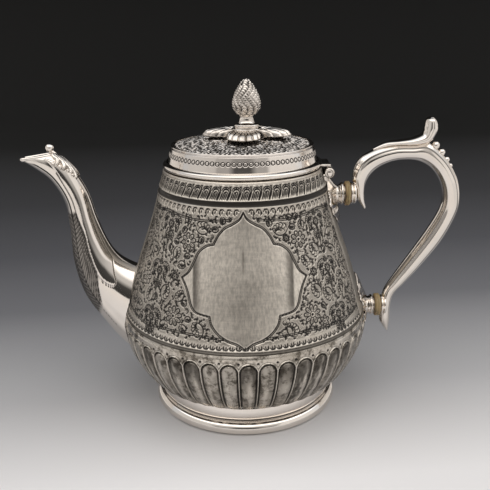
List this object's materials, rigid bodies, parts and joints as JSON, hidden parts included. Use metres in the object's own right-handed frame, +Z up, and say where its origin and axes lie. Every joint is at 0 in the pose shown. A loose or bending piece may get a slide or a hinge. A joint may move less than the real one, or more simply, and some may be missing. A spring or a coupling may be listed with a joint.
{
  "type": "silver teapot",
  "caption": "Footed teapot with a pear-shaped chased body, swan-neck spout, hinged lid with a cone finial and an insulated scroll handle.",
  "frame": {"origin": "on the plane the foot rests on, midway between the spout's tip and the handle's back, which is also the pot's turning axis", "axes": "+X towards the handle, -X towards the spout, +Z up along the pot's turning axis, +Y to the side"},
  "size_m": [0.2564, 0.1466, 0.1955],
  "materials": {
    "polished_silver": "polished silver plate",
    "chased_silver": "chased and engraved silver plate with dark oxidised cuts",
    "insulator_bone": "aged bone, softly polished",
    "fixing_brass": "plain brass"
  },
  "bodies": {
    "pot": {"foot_ring": "polished_silver", "mouth_ring": "polished_silver", "spout": "polished_silver", "spout_crest": "polished_silver", "upper_socket": "polished_silver", "lower_socket": "polished_silver", "upper_ferrule": "polished_silver", "lower_ferrule": "polished_silver", "upper_socket_pin": "polished_silver", "upper_ferrule_pin": "polished_silver", "lower_socket_pin": "polished_silver", "lower_ferrule_pin": "polished_silver", "handle": "polished_silver", "thumb_leaf": "polished_silver", "hinge_body_leaf": "polished_silver", "hinge_pin": "polished_silver", "lower_bowl": "chased_silver", "upper_body": "chased_silver", "upper_insulator": "insulator_bone", "lower_insulator": "insulator_bone"},
    "lid": {"lid_shell": "chased_silver", "lid_rim": "polished_silver", "lid_bezel": "polished_silver", "leaf_rosette": "polished_silver", "finial_stem": "polished_silver", "pine_cone": "polished_silver", "finial_stud": "polished_silver", "finial_washer": "fixing_brass", "finial_nut": "fixing_brass", "hinge_lid_leaf": "polished_silver"}
  },
  "joints": [
    {"name": "lid_hinge", "type": "hinge", "parent": "pot", "child": "lid", "pos_m": [0.0499, 0, 0.1423], "axis": [0, 1, 0], "range_deg": [0, 93]}
  ]
}
